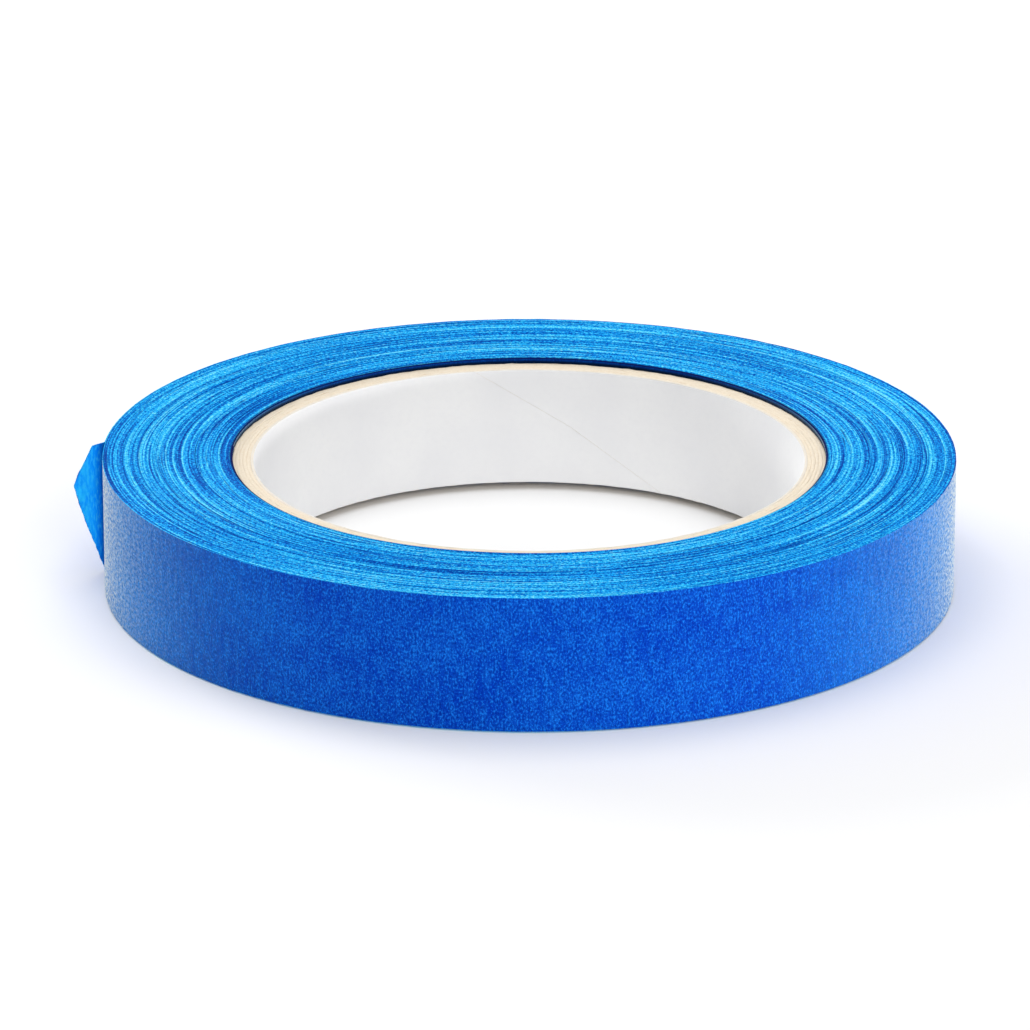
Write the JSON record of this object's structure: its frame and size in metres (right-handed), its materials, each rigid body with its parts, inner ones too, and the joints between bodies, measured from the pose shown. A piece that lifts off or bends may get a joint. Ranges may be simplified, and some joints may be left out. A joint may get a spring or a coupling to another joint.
{
  "type": "masking tape roll",
  "caption": "Flat roll of blue crepe-paper masking tape wound on a white-lined paper core, with a loose torn end that peels back.",
  "frame": {"origin": "centre of the core's bore, at half the tape's width", "axes": "+Z along the roll's axis; the roll lies flat on its -Z face, and seen from +Z the tape is wound counter-clockwise towards its free end near -X"},
  "size_m": [0.1218, 0.1179, 0.0186],
  "materials": {
    "tape_backing": "matte",
    "core_liner": "matte",
    "core_board": "matte"
  },
  "bodies": {
    "roll": {"core_liner": "core_liner", "core_ply_1": "core_board", "core_ply_2": "core_board", "core_ply_3": "core_board", "core_ply_4": "core_board", "core_ply_5": "core_board", "wound_tape": "tape_backing", "outer_lap": "tape_backing"},
    "tail_1": {"tape_tail_1": "tape_backing"},
    "tail_2": {"tape_tail_2": "tape_backing"},
    "tail_3": {"tape_tail_3": "tape_backing"},
    "tail_4": {"tape_tail_4": "tape_backing"},
    "tail_5": {"tape_tail_5": "tape_backing"},
    "tail_6": {"tape_tail_6": "tape_backing"},
    "free_end": {"end_tab": "tape_backing"}
  },
  "joints": [
    {"name": "tail_peel", "type": "hinge", "parent": "roll", "child": "tail_1", "pos_m": [0.00411, 0.05884, 0], "axis": [0, 0, -1], "range_deg": [0, 90]},
    {"name": "tail_bend_2", "type": "hinge", "parent": "tail_1", "child": "tail_2", "pos_m": [-0.01126, 0.05791, 0], "axis": [0, 0, -1], "range_deg": [0, 15]},
    {"name": "tail_bend_3", "type": "hinge", "parent": "tail_2", "child": "tail_3", "pos_m": [-0.02586, 0.05303, 0], "axis": [0, 0, -1], "range_deg": [0, 15]},
    {"name": "tail_bend_4", "type": "hinge", "parent": "tail_3", "child": "tail_4", "pos_m": [-0.03871, 0.04453, 0], "axis": [0, 0, -1], "range_deg": [0, 15]},
    {"name": "tail_bend_5", "type": "hinge", "parent": "tail_4", "child": "tail_5", "pos_m": [-0.04892, 0.033, 0], "axis": [0, 0, -1], "range_deg": [0, 15]},
    {"name": "tail_bend_6", "type": "hinge", "parent": "tail_5", "child": "tail_6", "pos_m": [-0.0558, 0.01921, 0], "axis": [0, 0, -1], "range_deg": [0, 15]},
    {"name": "tab_fold", "type": "hinge", "parent": "tail_6", "child": "free_end", "pos_m": [-0.05888, 0.00412, 0], "axis": [0, 0, -1], "range_deg": [-35, 100]}
  ],
  "couplings": [
    {"joint": "tail_bend_2", "follows": "tail_peel", "ratio": 0.16667},
    {"joint": "tail_bend_3", "follows": "tail_peel", "ratio": 0.16667},
    {"joint": "tail_bend_4", "follows": "tail_peel", "ratio": 0.16667},
    {"joint": "tail_bend_5", "follows": "tail_peel", "ratio": 0.16667},
    {"joint": "tail_bend_6", "follows": "tail_peel", "ratio": 0.16667}
  ]
}
